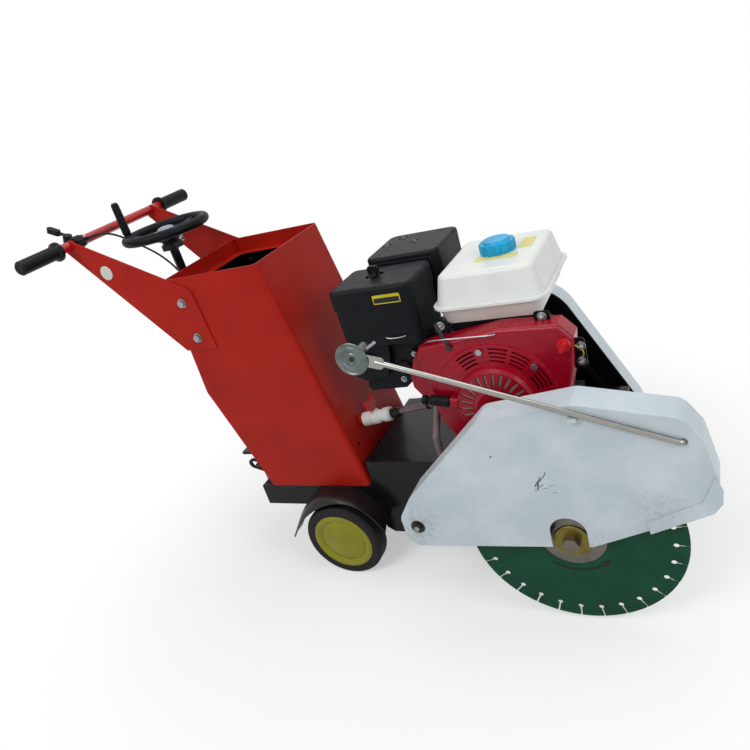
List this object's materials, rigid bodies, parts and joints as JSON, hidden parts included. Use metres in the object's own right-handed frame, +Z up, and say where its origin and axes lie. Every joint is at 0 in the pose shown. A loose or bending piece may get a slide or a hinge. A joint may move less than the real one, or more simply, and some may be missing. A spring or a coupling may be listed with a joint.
{
  "type": "walk-behind concrete saw",
  "caption": "Walk-behind saw with water tank, engine, belt drive, guarded blade, hand wheel lift for the front wheels and a folding guide rod.",
  "frame": {"origin": "on the ground, below the middle of the saw", "axes": "+X forward to the blade end, +Y left to the belt side, +Z up"},
  "size_m": [1.3983, 0.6086, 0.969],
  "materials": {
    "red_paint": "satin",
    "black_paint": "gloss",
    "white_paint": "satin",
    "crimson_paint": "gloss",
    "cream_paint": "gloss",
    "green_paint": "satin",
    "yellow_paint": "satin",
    "rubber": "matte",
    "tyre": "matte",
    "zinc": "satin",
    "gold_zinc": "satin",
    "steel": "satin",
    "dark_steel": "matte",
    "cast_aluminium": "matte",
    "cast_iron": "matte",
    "black_plastic": "matte",
    "white_plastic": "gloss",
    "red_plastic": "gloss",
    "blue_plastic": "gloss",
    "hose": "satin"
  },
  "bodies": {
    "root": {"air_cleaner": "black_plastic", "bearing_blocks": "cast_iron", "belt_guard": "white_paint", "belt_guard_plate": "black_paint", "carburettor": "black_plastic", "chassis_frame": "black_paint", "crankcase": "cast_aluminium", "drive_belts": "rubber", "fan_housing": "crimson_paint", "frame_bolts": "zinc", "fuel_tank": "cream_paint", "grip_left": "rubber", "grip_right": "rubber", "guard_pivot_bolt": "dark_steel", "handle_plates": "red_paint", "handlebar": "red_paint", "lever_clamp": "black_plastic", "mudguards": "black_paint", "muffler": "black_paint", "rear_axle": "steel", "recoil_cover": "crimson_paint", "screw_column": "black_paint", "spray_pipe": "hose", "throttle_cable": "rubber", "valve_body": "white_plastic", "water_hose": "hose", "water_tank": "red_paint"},
    "blade_drive": {"arbor_shaft": "steel", "arbor_pulley": "cast_iron", "inner_flange": "steel", "outer_flange": "dark_steel", "arbor_bolt": "gold_zinc", "blade": "green_paint"},
    "crank_drive": {"crankshaft": "steel", "engine_pulley": "cast_iron", "flywheel_fan": "cast_aluminium"},
    "guard": {"blade_guard": "white_paint", "guard_nose": "white_paint"},
    "rod": {"guide_rod": "zinc"},
    "disc": {"guide_disc": "zinc"},
    "hand_wheel": {"handwheel": "black_plastic", "lead_screw": "steel"},
    "spin_knob": {"handwheel_knob": "black_plastic"},
    "nut": {"lift_nut": "dark_steel"},
    "crank_lever": {"bell_crank": "black_paint"},
    "link": {"push_rod": "steel"},
    "swing_arm": {"front_swing_arm": "black_paint"},
    "front_right": {"front_wheel_right": "tyre"},
    "front_left": {"front_wheel_left": "tyre"},
    "rear_right": {"rear_hub_right": "yellow_paint", "rear_tyre_right": "tyre"},
    "rear_left": {"rear_hub_left": "yellow_paint", "rear_tyre_left": "tyre"},
    "throttle": {"throttle_lever": "black_plastic"},
    "valve": {"valve_handle": "red_plastic"},
    "cap": {"fuel_cap": "blue_plastic"},
    "air_knob": {"air_cleaner_knob": "black_plastic"},
    "pull_grip": {"recoil_grip": "black_plastic"},
    "switch": {"engine_switch": "red_plastic"},
    "control": {"control_lever": "zinc"}
  },
  "joints": [
    {"name": "blade_spin", "type": "hinge", "parent": "root", "child": "blade_drive", "pos_m": [0.437, 0, 0.2137], "axis": [0, 1, 0], "continuous": true},
    {"name": "crank_spin", "type": "hinge", "parent": "root", "child": "crank_drive", "pos_m": [0.306, 0, 0.446], "axis": [0, 1, 0], "continuous": true},
    {"name": "guard_lift", "type": "hinge", "parent": "root", "child": "guard", "pos_m": [0.134, -0.27, 0.247], "axis": [0, -1, 0], "range_deg": [0, 58]},
    {"name": "rod_swing", "type": "hinge", "parent": "guard", "child": "rod", "pos_m": [0.647, -0.3, 0.441], "axis": [0, 1, 0], "range_deg": [0, 204]},
    {"name": "disc_spin", "type": "hinge", "parent": "rod", "child": "disc", "pos_m": [0.112, -0.307, 0.638], "axis": [0, 1, 0], "continuous": true},
    {"name": "handwheel_turn", "type": "hinge", "parent": "root", "child": "hand_wheel", "pos_m": [-0.467, 0, 0.88], "axis": [0, 0, 1], "range_deg": [-1080, 5400]},
    {"name": "knob_spin", "type": "hinge", "parent": "hand_wheel", "child": "spin_knob", "pos_m": [-0.55721, -0.03283, 0.93], "axis": [0, 0, 1], "continuous": true},
    {"name": "nut_travel", "type": "slide", "parent": "root", "child": "nut", "axis": [0, 0, -1], "range_m": [-0.0153, 0.0755]},
    {"name": "bell_crank_tilt", "type": "hinge", "parent": "root", "child": "crank_lever", "pos_m": [-0.317, 0, 0.15], "axis": [0, -1, 0], "range_deg": [-5.7, 27.7]},
    {"name": "push_rod_pivot", "type": "hinge", "parent": "crank_lever", "child": "link", "pos_m": [-0.317, 0, 0.206], "axis": [0, -1, 0], "range_deg": [-28.2, 5.9]},
    {"name": "swing_arm_tilt", "type": "hinge", "parent": "root", "child": "swing_arm", "pos_m": [0.094, 0, 0.15], "axis": [0, -1, 0], "range_deg": [-6.87, 34.37]},
    {"name": "front_wheel_right_spin", "type": "hinge", "parent": "swing_arm", "child": "front_right", "pos_m": [0.224, -0.1, 0.06], "axis": [0, 1, 0], "continuous": true},
    {"name": "front_wheel_left_spin", "type": "hinge", "parent": "swing_arm", "child": "front_left", "pos_m": [0.224, 0.1, 0.06], "axis": [0, 1, 0], "continuous": true},
    {"name": "rear_wheel_right_spin", "type": "hinge", "parent": "root", "child": "rear_right", "pos_m": [-0.146, -0.173, 0.1], "axis": [0, 1, 0], "continuous": true},
    {"name": "rear_wheel_left_spin", "type": "hinge", "parent": "root", "child": "rear_left", "pos_m": [-0.146, 0.173, 0.1], "axis": [0, 1, 0], "continuous": true},
    {"name": "throttle_turn", "type": "hinge", "parent": "root", "child": "throttle", "pos_m": [-0.6488, -0.124, 0.92303], "axis": [0.4179, 0, 0.9085], "range_deg": [-35, 35]},
    {"name": "valve_turn", "type": "hinge", "parent": "root", "child": "valve", "pos_m": [-0.03055, -0.057, 0.36805], "axis": [-0.1678, 0, 0.9858], "range_deg": [0, 90]},
    {"name": "fuel_cap_turn", "type": "hinge", "parent": "root", "child": "cap", "pos_m": [0.318, 0.01, 0.705], "axis": [0, 0, 1], "range_deg": [0, 90]},
    {"name": "air_knob_turn", "type": "hinge", "parent": "root", "child": "air_knob", "pos_m": [0.072, -0.06, 0.705], "axis": [0, 0, 1], "continuous": true},
    {"name": "recoil_pull", "type": "slide", "parent": "root", "child": "pull_grip", "axis": [-0.9903, 0, 0.1392], "range_m": [0, 0.2], "stiffness_N_per_m": 15, "springref_m": -0.1},
    {"name": "switch_turn", "type": "hinge", "parent": "root", "child": "switch", "pos_m": [0.452, -0.155, 0.556], "axis": [0, -1, 0], "range_deg": [0, 60]},
    {"name": "control_turn", "type": "hinge", "parent": "root", "child": "control", "pos_m": [0.234, -0.152, 0.572], "axis": [0, -1, 0], "range_deg": [-15, 20]}
  ],
  "couplings": [
    {"joint": "blade_spin", "follows": "crank_spin", "ratio": 0.88},
    {"joint": "handwheel_turn", "follows": "swing_arm_tilt", "ratio": 157.09},
    {"joint": "nut_travel", "follows": "swing_arm_tilt", "m_per_rad": 0.12501},
    {"joint": "bell_crank_tilt", "follows": "swing_arm_tilt", "ratio": 0.8},
    {"joint": "push_rod_pivot", "follows": "swing_arm_tilt", "ratio": -0.80584}
  ]
}
